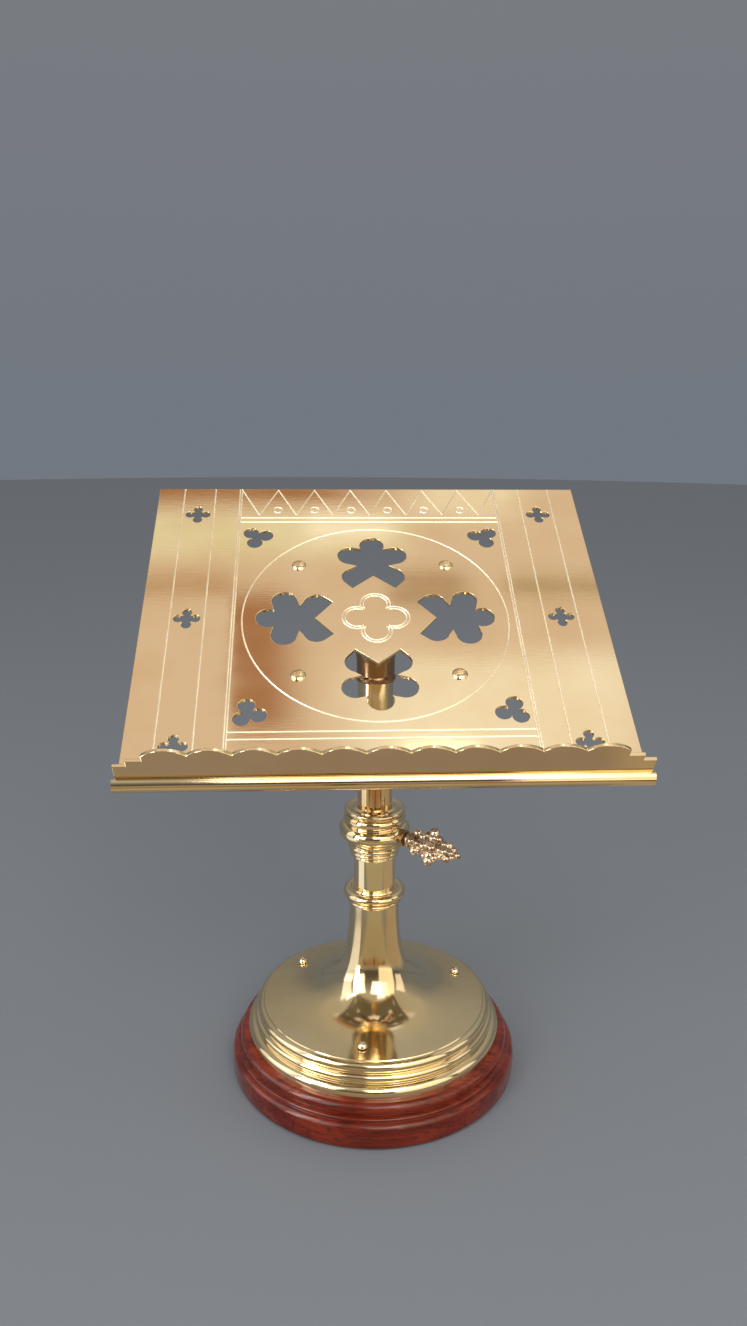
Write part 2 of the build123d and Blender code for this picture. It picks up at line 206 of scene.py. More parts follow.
def made_object(name, verts, faces, body, slot, material, stands_for=(), loop_normals=None, smooth=True):
    """A mesh piece, from millimetres in the row frame."""
    mesh = bpy.data.meshes.new(name)
    mesh.from_pydata([tuple(v) for v in np.asarray(verts, float) * MM], [], faces)
    mesh.validate(verbose=False)
    mesh.update()
    mesh.polygons.foreach_set("use_smooth", [smooth] * len(mesh.polygons))
    if loop_normals is not None and len(loop_normals) == len(mesh.loops):
        mesh.normals_split_custom_set([tuple(v) for v in loop_normals])
    piece = bpy.data.objects.new(name, mesh)
    bpy.context.scene.collection.objects.link(piece)
    return dressed(piece, body, slot, material, stands_for)


def dressed(piece, body, slot, material, stands_for=()):
    """Gives a piece its material and body, and hides the CAD nodes it stands for. The slot is not used."""
    piece.data.materials.clear()
    piece.data.materials.append(material)
    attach(piece, body)
    if stands_for:
        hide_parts(*stands_for)
    return piece


def spun_mesh(points, ease, place=Matrix(), steps=TURNED_STEPS):
    """Verts, faces and loop normals of a closed (radius, height) outline turned about Z."""
    p = eased(points, ease)
    if signed_area(p) < 0:
        p = p[::-1]
    normals = outline_normals(p)
    angles = np.arange(steps) * math.tau / steps
    cos, sin = np.cos(angles), np.sin(angles)
    n = len(p)

    def swept(flat):
        across, up = flat.T
        rows = np.outer(cos, across), np.outer(sin, across), np.tile(up, (steps, 1))
        return np.stack(rows, 2).reshape(-1, 3)

    i, j = np.meshgrid(np.arange(steps), np.arange(n), indexing="ij")
    a, b = i * n + j, ((i + 1) % steps) * n + j
    c, d = ((i + 1) % steps) * n + (j + 1) % n, i * n + (j + 1) % n
    faces = np.stack([a, b, c, d], 2).reshape(-1, 4)
    turn = np.array(place.to_3x3())
    verts = swept(p) @ turn.T + np.array(place.translation)
    norms = swept(normals) @ turn.T
    return verts, faces, norms[faces.ravel()]


def joined(parts):
    """Several (verts, faces, loop normals) as one."""
    verts, faces, norms, start = [], [], [], 0
    for v, f, n in parts:
        verts.append(v)
        faces += [[int(i) + start for i in face] for face in f]
        norms.append(n)
        start += len(v)
    return np.concatenate(verts), faces, np.concatenate(norms)


def turned(name, points, *dress, stands_for=(), ease=0.3, place=Matrix(), steps=TURNED_STEPS):
    """A turned piece from its closed (radius, height) outline."""
    verts, faces, norms = spun_mesh(points, ease, place, steps)
    return made_object(name, verts, faces.tolist(), *dress, stands_for, norms)


def round_head(radius, height, shank, length):
    """Outline of a domed screw that stands on height 0, kept just off the axis."""
    return outline(
        (0.02, height),
        ((0.70 * radius, 0.74 * height), (radius, 0.16 * height)),
        (radius, 0),
        (shank, 0),
        (shank, -length),
        (0.02, -length),
        chord=0.25,
    )


BOX_FACES = [[0, 1, 3, 2], [4, 6, 7, 5], [0, 4, 5, 1], [2, 3, 7, 6], [0, 2, 6, 4], [1, 5, 7, 3]]


def slotted_screws(name, places, head, *dress):
    """Domed screws with a cut slot, as one piece. The head is its sizes, by name."""
    radius, height = head["radius"], head["height"]
    profile = round_head(radius, height, head["shank"], head["length"])
    verts, faces, _ = joined([spun_mesh(profile, 0.12, place, 72) for place in places])
    piece = made_object(name, verts, faces, *dress)
    cutters = []
    for place in places:
        box = np.array([(x, y, z) for x in (-1.3, 1.3) for y in (-1, 1) for z in (0, 1)], float)
        box *= (radius, head["slot_width"] / 2, 1)
        box[:, 2] = height * 0.55 + box[:, 2] * height
        box = box @ np.array(place.to_3x3()).T + np.array(place.translation)
        cutters.append((box, BOX_FACES, np.zeros((24, 3))))
    slots, slot_faces, _ = joined(cutters)
    cut_away(piece, slots, slot_faces)
    return piece


def cut_away(piece, verts, faces):
    """Takes a cutter, in millimetres, out of a piece."""
    mesh = bpy.data.meshes.new("cutter")
    mesh.from_pydata([tuple(v) for v in np.asarray(verts) * MM], [], faces)
    cutter = bpy.data.objects.new("cutter", mesh)
    bpy.context.scene.collection.objects.link(cutter)
    modifier = piece.modifiers.new("cut", "BOOLEAN")
    modifier.operation, modifier.solver, modifier.object = "DIFFERENCE", "EXACT", cutter
    settle(piece)
    bpy.data.objects.remove(cutter)
    piece.data.set_sharp_from_angle(angle=math.radians(32))


def settle(piece):
    """Applies a piece's modifiers."""
    bpy.context.view_layer.update()
    graph = bpy.context.evaluated_depsgraph_get()
    mesh = bpy.data.meshes.new_from_object(piece.evaluated_get(graph), depsgraph=graph)
    piece.modifiers.clear()
    piece.data = mesh
    mesh.polygons.foreach_set("use_smooth", [True] * len(mesh.polygons))


# Flat sheets with rounded edges, piercings and engraved lines


def signed_area(p):
    return 0.5 * np.sum(p[:, 0] * np.roll(p[:, 1], -1) - np.roll(p[:, 0], -1) * p[:, 1])


def moved_in(p, distance):
    """A loop with its material on the left, moved into the material."""
    ahead = np.roll(p, -1, axis=0) - p
    unit = ahead / np.hypot(*ahead.T)[:, None]
    left = np.stack([-unit[:, 1], unit[:, 0]], 1)
    total = left + np.roll(left, 1, axis=0)
    size = (total**2).sum(1)
    return p + distance * 2 * total / np.maximum(size, 1.1)[:, None]


def inside(points, loops):
    """Which points are in the material, by crossing count."""
    hits = np.zeros(len(points), int)
    x, y = points[:, 0][:, None], points[:, 1][:, None]
    for p in loops:
        q = np.roll(p, -1, axis=0)
        spans = (p[:, 1] > y) != (q[:, 1] > y)
        slope = (q[:, 0] - p[:, 0]) / np.where(q[:, 1] == p[:, 1], 1e-12, q[:, 1] - p[:, 1])
        hits += (spans & (x < p[:, 0] + (y - p[:, 1]) * slope)).sum(1)
    return hits % 2 == 1


def carved_depth(points, lines, half_width, depth):
    """How deep the engraved lines are at each point."""
    made = np.zeros(len(points))
    for line in lines:
        p = np.array(line, float)
        for a, b in zip(p[:-1], p[1:]):
            d = b - a
            t = np.clip(((points - a) @ d) / (d @ d), 0, 1)
            away = np.hypot(*(points - a - t[:, None] * d).T)
            made = np.maximum(made, depth * np.clip(1 - away / half_width, 0, 1))
    return made


def sheet(name, loops, thickness, to_row, *dress, lines=(), cut=None, stands_for=()):
    """A flat sheet with its face at height 0, rounded at every edge and engraved along lines."""
    edge, half_width, depth = EDGE, LINE_HALF, LINE_DEPTH
    rim, *holes = map(np.asarray, loops)
    oriented = [rim if signed_area(rim) > 0 else rim[::-1]]
    oriented += [p[::-1] if signed_area(p) > 0 else p for p in holes]
    angles = [math.radians(30 * k) for k in range(4)]
    rings = [(edge * (1 - math.cos(t)), edge * (math.sin(t) - 1)) for t in angles]
    back = [(edge * 0.7, -thickness), (edge * 0.2, -thickness + edge * 0.3), (0, -thickness + edge)]
    verts, faces, count = [], [], 0
    for p in oriented:
        n = len(p)
        for inset, height in back + rings:
            moved = moved_in(p, inset)
            z = np.full(n, height)
            if lines and height > -thickness / 2:
                z = np.minimum(z, -carved_depth(moved, lines, half_width, depth))
            verts += [(x, y, h) for (x, y), h in zip(moved, z)]
        levels = len(back) + len(rings)
        for k in range(levels - 1):
            for i in range(n):
                a, b = count + k * n + i, count + k * n + (i + 1) % n
                faces.append([a, b, b + n, a + n])
        count += levels * n
    for inset, top in ((edge, True), (edge * 0.7, False)):
        flat = [moved_in(p, inset) for p in oriented]
        points = [tuple(v) for p in flat for v in p]
        edges, start = [], 0
        for p in flat:
            edges += [(start + i, start + (i + 1) % len(p)) for i in range(len(p))]
            start += len(p)
        if top:
            for line in lines:
                new_points, new_edges = groove_net(line, half_width, len(points), flat)
                points += new_points
                edges += new_edges
        out = delaunay_2d_cdt([Vector(v) for v in points], edges, [], 0, 1e-5)
        flat_verts = np.array([tuple(v) for v in out[0]])
        triangles = np.array([tuple(t) for t in out[2]])
        keep = inside(flat_verts[triangles].mean(1), flat)
        triangles = triangles[keep]
        z = np.zeros(len(flat_verts))
        if top and lines:
            z = -carved_depth(flat_verts, lines, half_width, depth)
        if not top:
            z = z - thickness
            triangles = triangles[:, ::-1]
        verts += [(x, y, h) for (x, y), h in zip(flat_verts, z)]
        faces += [[int(i) + count for i in t] for t in triangles]
        count += len(flat_verts)
    rotate, shift = np.array(to_row.to_3x3()), np.array(to_row.translation)
    verts = np.array(verts) @ rotate.T + shift
    piece = made_object(name, verts, faces, *dress, stands_for=stands_for, smooth=False)
    welded(piece)
    if cut:
        mesh = piece.data
        mesh.materials.append(cut)
        centres = np.array([tuple(p.center) for p in mesh.polygons]) / MM
        flat_centres = (centres - shift) @ rotate
        carved = carved_depth(flat_centres[:, :2], lines, half_width, depth)
        is_cut = (carved > 0.02) & (flat_centres[:, 2] < -0.02) & (flat_centres[:, 2] > -depth)
        mesh.polygons.foreach_set("material_index", is_cut.astype(int))
    return piece


def welded(piece):
    """Joins a mesh's doubled points, and drops loose ones."""
    mesh = bmesh.new()
    mesh.from_mesh(piece.data)
    bmesh.ops.remove_doubles(mesh, verts=mesh.verts, dist=4e-6)
    loose = [v for v in mesh.verts if not v.link_faces]
    bmesh.ops.delete(mesh, geom=loose, context="VERTS")
    bmesh.ops.dissolve_degenerate(mesh, edges=mesh.edges, dist=1e-6)
    mesh.to_mesh(piece.data)
    mesh.free()


def groove_net(line, half_width, start, loops):
    """Edges for the middle, both sides and the ends of one engraved line, which may be closed."""
    p = np.array(line, float)
    closed = np.hypot(*(p[0] - p[-1])) < 1e-6
    if closed:
        p = p[:-1]
    ahead = np.roll(p, -1, axis=0) - p if closed else np.gradient(p, axis=0)
    if closed:
        before = p - np.roll(p, 1, axis=0)
        ahead = ahead / np.hypot(*ahead.T)[:, None] + before / np.hypot(*before.T)[:, None]
    unit = ahead / np.hypot(*ahead.T)[:, None]
    left = np.stack([-unit[:, 1], unit[:, 0]], 1) * half_width
    n = len(p)
    points = [tuple(v) for v in np.concatenate([p, p + left, p - left])]
    last = n if closed else n - 1
    edges = [(k * n + i, k * n + (i + 1) % n) for k in range(3) for i in range(last)]
    if not closed:
        for end, on in ((0, -half_width), (n - 1, half_width)):
            tip = p[end] + unit[end] * on
            if inside(tip[None], loops)[0]:
                edges += [(len(points), n + end), (len(points), 2 * n + end), (len(points), end)]
                points.append(tuple(tip))
    return points, [(a + start, b + start) for a, b in edges]


def cinquefoil(turn):
    """Five lobes round a notched heart, drawn along +X and turned."""
    half = outline(
        (40, 0),
        (28, 14.5),
        (33.4, 19.2),
        ((40.4, 21.2), (47, 15.3)),
        (50, 11),
        (51.8, 16.5),
        ((61.4, 23.7), (67.8, 12.6)),
        (66.6, 7.5),
        ((75.9, 5.9), (78.3, 0)),
        chord=1.1,
    )
    points = np.array(half + [(x, -y) for x, y in half[-2:0:-1]])
    return spun_flat(points, turn)


def spun_flat(points, turn, centre=(0, 0)):
    """Flat points turned by degrees about the origin, then moved to a centre."""
    c, s = math.cos(math.radians(turn)), math.sin(math.radians(turn))
    return np.asarray(points) @ np.array([[c, s], [-s, c]]) + np.array(centre)


def foil(lobes, radius, reach, heart, turn, centre):
    """A ring of round lobes about an open heart."""
    lean = math.acos((reach**2 + radius**2 - heart**2) / (2 * reach * radius))
    count = max(10, round(2 * (math.pi - lean) * radius / 0.75))
    angles = np.linspace(lean - math.pi, math.pi - lean, count)
    lobe = np.stack([reach + radius * np.cos(angles), radius * np.sin(angles)], 1)
    points = []
    for k in range(lobes):
        one = spun_flat(lobe, 360 * k / lobes)
        points += list(one if lobes > 3 else one[1:-1])
        if lobes == 3:
            cusp = math.radians(360 * (k + 0.5) / lobes)
            points.append(np.array([heart * math.cos(cusp), heart * math.sin(cusp)]))
    return spun_flat(points, turn, centre)


# Materials


def shader(name):
    """A new material with its Principled shader, its links and a maker of further nodes."""
    material = bpy.data.materials.new(name)
    material.use_nodes = True
    nodes, links = material.node_tree.nodes, material.node_tree.links
    return material, nodes["Principled BSDF"], links, nodes.new


def rough_noise(new, links, scale, detail, stretch=(1, 1, 1), spin=0.0, roughness=0.55):
    """Noise over a piece's own coordinates, stretched, and turned by spin radians about Z."""
    where = new("ShaderNodeTexCoord")
    mapping = new("ShaderNodeMapping")
    mapping.inputs["Scale"].default_value = stretch
    mapping.inputs["Rotation"].default_value[2] = spin
    noise = new("ShaderNodeTexNoise")
    noise.inputs["Scale"].default_value = scale
    noise.inputs["Detail"].default_value = detail
    noise.inputs["Roughness"].default_value = roughness
    links.new(where.outputs["Object"], mapping.inputs["Vector"])
    links.new(mapping.outputs["Vector"], noise.inputs["Vector"])
    return noise


def ramp(new, links, source, stops):
    """A colour ramp over a source, with stops of (position, colour or grey)."""
    node = new("ShaderNodeValToRGB")
    elements = node.color_ramp.elements
    while len(elements) < len(stops):
        elements.new(0.5)
    for element, (position, colour) in zip(elements, stops):
        element.position = position
        element.color = (*colour, 1) if hasattr(colour, "__len__") else (colour, colour, colour, 1)
    links.new(source, node.inputs["Fac"])
    return node


def brass(name, colour, dull, rough, brushing=(1, 1, 1), wave=0.0, brushed=0.02, patches=14.0):
    """Polished brass: faint tarnish, a varying polish, fine hairlines and a slight waviness."""
    material, surface, links, new = shader(name)
    surface.inputs["Metallic"].default_value = 1.0
    cloud = rough_noise(new, links, patches, 5.0)
    tint = ramp(new, links, cloud.outputs["Fac"], ((0.30, dull), (0.56, colour)))
    links.new(tint.outputs["Color"], surface.inputs["Base Color"])
    smear = rough_noise(new, links, 60.0, 6.0, brushing)
    polish = ramp(new, links, smear.outputs["Fac"], ((0.35, rough[0]), (0.70, rough[1])))
    links.new(polish.outputs["Color"], surface.inputs["Roughness"])
    hair = rough_noise(new, links, 900.0, 3.0, brushing)
    bump = new("ShaderNodeBump")
    bump.inputs["Strength"].default_value = brushed
    bump.inputs["Distance"].default_value = 0.0004
    links.new(hair.outputs["Fac"], bump.inputs["Height"])
    if wave:
        swell = rough_noise(new, links, 9.0, 1.0)
        soft = new("ShaderNodeBump")
        soft.inputs["Strength"].default_value = wave
        soft.inputs["Distance"].default_value = 0.004
        links.new(swell.outputs["Fac"], soft.inputs["Height"])
        links.new(soft.outputs["Normal"], bump.inputs["Normal"])
    links.new(bump.outputs["Normal"], surface.inputs["Normal"])
    return material


GOLD = (0.89, 0.73, 0.46)
GOLD_DULL = (0.80, 0.61, 0.34)
ALONG_Z = (1, 1, 6)
ALONG_X = (0.12, 1, 1)
plate_brass = brass("plate_brass", (0.90, 0.72, 0.44), (0.84, 0.64, 0.36), (0.05, 0.11), ALONG_X, 0.07, 0.03)
turned_brass = brass("turned_brass", GOLD, GOLD_DULL, (0.05, 0.10), ALONG_Z)
stem_brass = brass("stem_brass", (0.86, 0.65, 0.39), (0.70, 0.47, 0.24), (0.05, 0.10), ALONG_Z)
spun_brass = brass("spun_brass", GOLD, GOLD_DULL, (0.06, 0.13), ALONG_Z, 0.05, 0.03)
cast_brass = brass(
    "cast_brass", (0.86, 0.69, 0.54), (0.20, 0.12, 0.07), (0.10, 0.26), wave=0.35, brushed=0.20, patches=190.0
)
cut_brass = brass("cut_brass", (0.97, 0.88, 0.70), (0.92, 0.80, 0.60), (0.38, 0.50), brushed=0.1)
# The desk bracket's dark brown is partly tarnish and partly painted shade from the plate above it.
aged_and_shaded_brass = brass("aged_and_shaded_brass", (0.42, 0.24, 0.13), (0.24, 0.12, 0.06), (0.16, 0.32), wave=0.1, brushed=0.08)
# The clamp insert's near-black brown is painted shade of the recess under the thumbscrew head.
shaded_dark_brass = brass("shaded_dark_brass", (0.30, 0.19, 0.09), (0.16, 0.10, 0.05), (0.30, 0.45), wave=0.1, brushed=0.1)
screw_brass = brass("screw_brass", (0.95, 0.86, 0.70), (0.86, 0.74, 0.55), (0.07, 0.14), brushed=0.03)
steel = brass("dull_steel", (0.48, 0.47, 0.45), (0.33, 0.32, 0.31), (0.28, 0.45), brushed=0.08)


def mahogany():
    """French-polished mahogany: ribbon grain along X, open pores, under a clear polish."""
    material, surface, links, new = shader("mahogany")
    grain = rough_noise(new, links, 70.0, 9.0, (0.09, 1, 1.8), 0.06, 0.66)
    reds = (
        (0.28, (0.11, 0.007, 0.002)),
        (0.46, (0.22, 0.018, 0.004)),
        (0.60, (0.35, 0.040, 0.010)),
        (0.76, (0.19, 0.014, 0.003)),
    )
    figure = ramp(new, links, grain.outputs["Fac"], reds)
    pore = rough_noise(new, links, 520.0, 2.0, (0.05, 1, 1), 0.06)
    fleck = ramp(new, links, pore.outputs["Fac"], ((0.36, 0.35), (0.47, 1.0)))
    mix = new("ShaderNodeMix")
    mix.data_type, mix.blend_type = "RGBA", "MULTIPLY"
    mix.inputs["Factor"].default_value = 0.75
    links.new(figure.outputs["Color"], mix.inputs["A"])
    links.new(fleck.outputs["Color"], mix.inputs["B"])
    links.new(mix.outputs["Result"], surface.inputs["Base Color"])
    surface.inputs["Roughness"].default_value = 0.38
    surface.inputs["Specular IOR Level"].default_value = 0.1
    surface.inputs["Coat Weight"].default_value = 1.0
    surface.inputs["Coat Roughness"].default_value = 0.15
    surface.inputs["Coat IOR"].default_value = 1.46
    bump = new("ShaderNodeBump")
    bump.inputs["Strength"].default_value = 0.06
    bump.inputs["Distance"].default_value = 0.0005
    links.new(pore.outputs["Fac"], bump.inputs["Height"])
    links.new(bump.outputs["Normal"], surface.inputs["Normal"])
    return material


def cloth(name, colour, dark):
    """A short-piled cloth, or hide, with a fine fibrous bump."""
    material, surface, links, new = shader(name)
    fibre = rough_noise(new, links, 900.0, 6.0)
    tint = ramp(new, links, fibre.outputs["Fac"], ((0.3, dark), (0.7, colour)))
    links.new(tint.outputs["Color"], surface.inputs["Base Color"])
    surface.inputs["Roughness"].default_value = 0.95
    surface.inputs["Sheen Weight"].default_value = 0.4
    bump = new("ShaderNodeBump")
    bump.inputs["Strength"].default_value = 0.7
    bump.inputs["Distance"].default_value = 0.0006
    links.new(fibre.outputs["Fac"], bump.inputs["Height"])
    links.new(bump.outputs["Normal"], surface.inputs["Normal"])
    return material


wood = mahogany()
baize = cloth("baize", (0.028, 0.07, 0.04), (0.012, 0.032, 0.018))
hide = cloth("hide", (0.10, 0.05, 0.03), (0.05, 0.025, 0.015))

# Base

pad = outline((15, 0), (97, 0), (97, PAD_TOP), (15, PAD_TOP))
turned("baize", pad, "base", "baize", baize, stands_for=["baize_pad"])
turned(
    "plinth",
    outline(
        (14.6, 15),
        (27, 15),
        (27, PAD_TOP),
        (100.1, PAD_TOP),
        (100.8, 2.4),
        ((101.0, 8.0), (100.7, 13.6)),
        ((99.6, 16.4), (97.1, 17.6)),
        (96.9, 18.0),
        ((97.6, 19.5), (96.2, 20.6)),
        (94.0, 21.2),
        ((95.1, 25.2), (91.0, PLINTH_TOP)),
        (14.6, PLINTH_TOP),
    ),
    "base",
    "mahogany",
    wood,
    stands_for=["wood_plinth"],
)
DOME = [(66, 51.0), (53, 53.0), (42, 56.8), (33.5, 62.6), (26.9, 69.2), (22.9, 76.5)]
DOME += [(20.6, 84.5), (18.4, 99.0), (17.3, 114.0), (17.1, NECK_TOP)]
turned(
    "foot",
    outline(
        (87.0, PLINTH_TOP),
        (89.4, PLINTH_TOP),
        (89.4, 31.6),
        ((88.1, 35.0), (85.2, 36.4)),
        (84.2, 36.6),
        (84.0, 37.6),
        ((84.9, 39.9), (83.6, 42.0)),
        (82.0, 42.4),
        (81.9, 43.4),
        ((82.2, 47.2), (78.6, 49.2)),
        (78.0, 49.8),
        DOME,
        (14.4, NECK_TOP),
        (14.4, 96.0),
        (19.0, 84.0),
        (25.6, 69.0),
        (42.0, 55.6),
        (66, 49.8),
        (76.6, 48.9),
        (80.4, 43.0),
        (82.6, 36.6),
    ),
    "base",
    "brass_spun",
    spun_brass,
    stands_for=["foot_shell"],
    ease=0.22,
)
foot_places = [
    Matrix.Rotation(math.radians(azimuth), 4, "Z") @ Matrix.Translation((FOOT_SCREW_CIRCLE, 0, 51.7))
    for azimuth in FOOT_SCREW_AZIMUTHS
]
foot_heads = dict(radius=3.4, height=3.2, shank=1.6, length=39.6, slot_width=0.8)
foot_dress = ("base", "brass_turned", screw_brass, ["foot_screws"])
slotted_screws("foot_screw_heads", foot_places, foot_heads, *foot_dress)

# Column

column = outline((TUBE_BORE, 4), (TUBE_RADIUS, 4), (TUBE_RADIUS, TUBE_TOP), (TUBE_BORE, TUBE_TOP))
turned("column_tube", column, "base", "brass_turned", turned_brass, stands_for=["outer_tube"])
turned(
    "neck_moulding",
    outline(
        (TUBE_SLEEVE, NECK_TOP),
        (18.2, NECK_TOP),
        ((18.9, 125.7), (18.2, 126.9)),
        (17.3, 127.2),
        (17.3, 127.9),
        (18.6, 128.2),
        ((21.6, NECK_RING_Z), (17.4, 134.4)),
        (16.2, 134.4),
        (15.6, 135.3),
        (TUBE_SLEEVE, 135.3),
    ),
    "base",
    "brass_turned",
    turned_brass,
    stands_for=["neck_ring"],
    ease=0.15,
)
turned(
    "knop",
    outline(
        (TUBE_SLEEVE, KNOP_BOTTOM),
        (15.6, KNOP_BOTTOM),
        ((16.4, 159.6), (15.8, 160.4)),
        (15.7, 160.9),
        ((17.2, 162.3), (16.2, 163.8)),
        (16.2, 164.3),
        ((18.1, 166.0), (17.0, 167.8)),
        (17.0, 168.4),
        ((18.2, 170.8), (21.4, 172.0)),
        ((24.6, 177.2), (22.4, 182.6)),
        (20.5, 183.3),
        (20.3, 184.0),
        ((21.4, 187.0), (20.4, 189.8)),
        (19.2, 190.2),
        (19.2, 190.8),
        ((20.9, 192.3), (20.2, 193.8)),
        (19.2, KNOP_TOP),
        (15.2, KNOP_TOP - 0.4),
        (13.4, KNOP_TOP + 0.4),
        (STEM_SLEEVE, KNOP_TOP + 0.4),
        (STEM_SLEEVE, TUBE_TOP + 0.1),
        (TUBE_SLEEVE, TUBE_TOP + 0.1),
    ),
    "base",
    "brass_turned",
    turned_brass,
    stands_for=["clamp_knop"],
    ease=0.15,
)
turned(
    "clamp_boss",
    outline(
        (SCREW_SLEEVE, INSERT_START),
        (INSERT_RADIUS, INSERT_START),
        (INSERT_RADIUS, INSERT_END - 0.6),
        (INSERT_RADIUS - 0.6, INSERT_END),
        (SCREW_SLEEVE, INSERT_END),
    ),
    "base",
    "brass_dark",
    shaded_dark_brass,
    stands_for=["clamp_insert"],
    ease=0.2,
    place=SCREW_AXIS,
    steps=96,
)

# Stem

foot, top = STEM_ENDS
stem = outline((STEM_BORE, foot), (STEM_RADIUS, foot), (STEM_RADIUS, top), (STEM_BORE, top))
turned("stem", stem, "desk", "brass_turned", stem_brass, stands_for=["stem_tube"])

# Thumbscrew: lumps melted into one casting


def casting(name, lumps, voxel, *dress):
    """Ellipsoids (centre, half sizes), in the thumbscrew's own frame, melted together."""
    made = bmesh.new()
    to_row = Matrix.Scale(MM, 4) @ SCREW_AXIS @ Matrix.Rotation(-HEAD_TURN, 4, "Z")
    for centre, size in lumps:
        place = to_row @ Matrix.Translation(centre) @ Matrix.Diagonal((*size, 1))
        bmesh.ops.create_icosphere(made, subdivisions=4, radius=1.0, matrix=place)
    mesh = bpy.data.meshes.new(name)
    made.to_mesh(mesh)
    made.free()
    piece = bpy.data.objects.new(name, mesh)
    bpy.context.scene.collection.objects.link(piece)
    remesh = piece.modifiers.new("melt", "REMESH")
    remesh.mode, remesh.voxel_size = "VOXEL", voxel * MM
    smooth = piece.modifiers.new("soften", "SMOOTH")
    smooth.factor, smooth.iterations = 0.5, 3
    settle(piece)
    return dressed(piece, *dress)


# The spindle is lumps of (distance out, half width, half length), strung along the axis.
SPINDLE = (
    (30.2, 5.3, 2.2),
    (35.4, 5.6, 4.6),
    (41.4, 3.9, 5.0),
    (48.0, 5.4, 4.8),
    (54.2, 3.8, 4.6),
    (60.6, 4.0, 4.6),
    (65.6, 2.0, 3.2),
    (69.0, 2.2, 2.2),
)
# Each ring of four leaf lobes is (reach from the axis, distance out, lobe radius).
LEAVES = (
    (6.0, 35.4, 3.1),
    (4.6, 39.8, 2.8),
    (6.6, 44.2, 2.7),
    (5.6, 48.0, 3.9),
    (9.4, 48.0, 3.4),
    (6.2, 52.4, 2.8),
    (3.9, 57.0, 2.6),
    (4.5, 61.2, 2.6),
    (2.6, 65.2, 2.0),
)
lumps = [((0, 0, out), (half, half, along)) for out, half, along in SPINDLE]
for x, y in ((1, 0), (0, 1), (-1, 0), (0, -1)):
    lumps += [((x * reach, y * reach, out), (lobe, lobe, lobe)) for reach, out, lobe in LEAVES]
casting("thumbscrew_leaf", lumps, 0.28, "thumbscrew", "brass_cast", cast_brass, ["thumbscrew_head"])

# Desk plate

verticals = sorted(side * x for side in (-1, 1) for x in (134, 111.6, 93.9, PANEL_EDGE))


def plate_outline():
    """The plate's edge, with a point wherever an upright line or its side meets it."""
    stops = [x + d for x in verticals for d in (-LINE_HALF, 0, LINE_HALF)]
    stops = [-PLATE_HALF, *stops, PLATE_HALF]
    return np.array([(x, -PLATE_DOWN) for x in stops] + [(x, PLATE_UP) for x in reversed(stops)])


def ring(centre, radius, count, start=0.0, sweep=360.0):
    """Points round a circle, or round the part of it that starts and sweeps by degrees."""
    angles = np.radians(np.linspace(start, start + sweep, count + 1))
    return [(centre[0] + radius * math.cos(t), centre[1] + radius * math.sin(t)) for t in angles]


engraved = [[(x, -PLATE_DOWN + EDGE), (x, PLATE_UP - EDGE)] for x in verticals]
engraved += [[(-PANEL_EDGE, v), (PANEL_EDGE, v)] for v in (100.4, 95.7, -94.0, -99.4)]
pitch = 2 * PANEL_EDGE / 7
for k in range(7):
    left = -PANEL_EDGE + k * pitch
    engraved.append([(left, BAND_TOP), (left + pitch / 2, BAND_FOOT)])
    engraved.append([(left + pitch / 2, BAND_FOOT), (left + pitch, BAND_TOP)])
    if k:
        engraved.append(ring((left, 109.0), 3.0, 24))
engraved.append(ring((0, 0), 87.3, 180))
for k in range(4):
    centre = (12.2 * math.cos(math.radians(90 * k)), 12.2 * math.sin(math.radians(90 * k)))
    for radius, sweep in ((10.0, 242), (8.0, 214)):
        engraved.append(ring(centre, radius, 28, 90 * k - sweep / 2, sweep))

holes = [cinquefoil(90 * k) for k in range(4)]
for x, v, turn in ((80, 79.5, 45), (-80, 79.5, 135), (-80, -79.5, 225), (80, -79.5, 315)):
    holes.append(foil(3, 5.2, 6.0, 3.7, turn, (x, v)))
for x in (-123, 123):
    for v in (-104, 0, 104):
        holes.append(foil(4, 3.1, 5.55, 4.0, 0, (x, v)))
sheet(
    "engraved_plate",
    [plate_outline(), *holes],
    PLATE_THICK,
    DESK,
    "desk",
    "brass_plate",
    plate_brass,
    lines=engraved,
    cut=cut_brass,
    stands_for=["desk_plate"],
)

slot_turn = Matrix.Rotation(math.radians(35), 4, "Z")
desk_places = [DESK @ Matrix.Translation((x, v, 0)) @ slot_turn for x in (-50.5, 50.5) for v in (-50, 50)]
desk_heads = dict(radius=4.9, height=1.9, shank=2.1, length=11.0, slot_width=0.9)
desk_dress = ("desk", "brass_turned", turned_brass, ["desk_screws"])
slotted_screws("desk_screw_heads", desk_places, desk_heads, *desk_dress)

# Ledge

FACE = DESK @ Matrix(((1, 0, 0, 0), (0, 0, -1, -LEDGE_FACE), (0, 1, 0, 0), (0, 0, 0, 1)))


def gallery_outline():
    """The scalloped gallery, seen from its face, as (across, height)."""
    half = SCALLOPS_HALF
    step = 2 * half / SCALLOPS
    shoulder = [(GALLERY_HALF, 0), (GALLERY_HALF, 23.0), (143.0, 23.0), (143.0, 27.5), (half, 27.5)]
    points = [(-GALLERY_HALF, 0), *shoulder, (half, 32.0)]
    for k in range(SCALLOPS):
        right = half - k * step
        points += arc_points((right, 32.0), (right - step / 2, 36.5), (right - step, 32.0), 1.2)
    points += [(-x, height) for x, height in reversed(shoulder[1:])]
    return np.array(points)


sheet(
    "scalloped_gallery",
    [gallery_outline()],
    2.3,
    FACE,
    "desk",
    "brass_plate",
    plate_brass,
    stands_for=["ledge_gallery"],
)


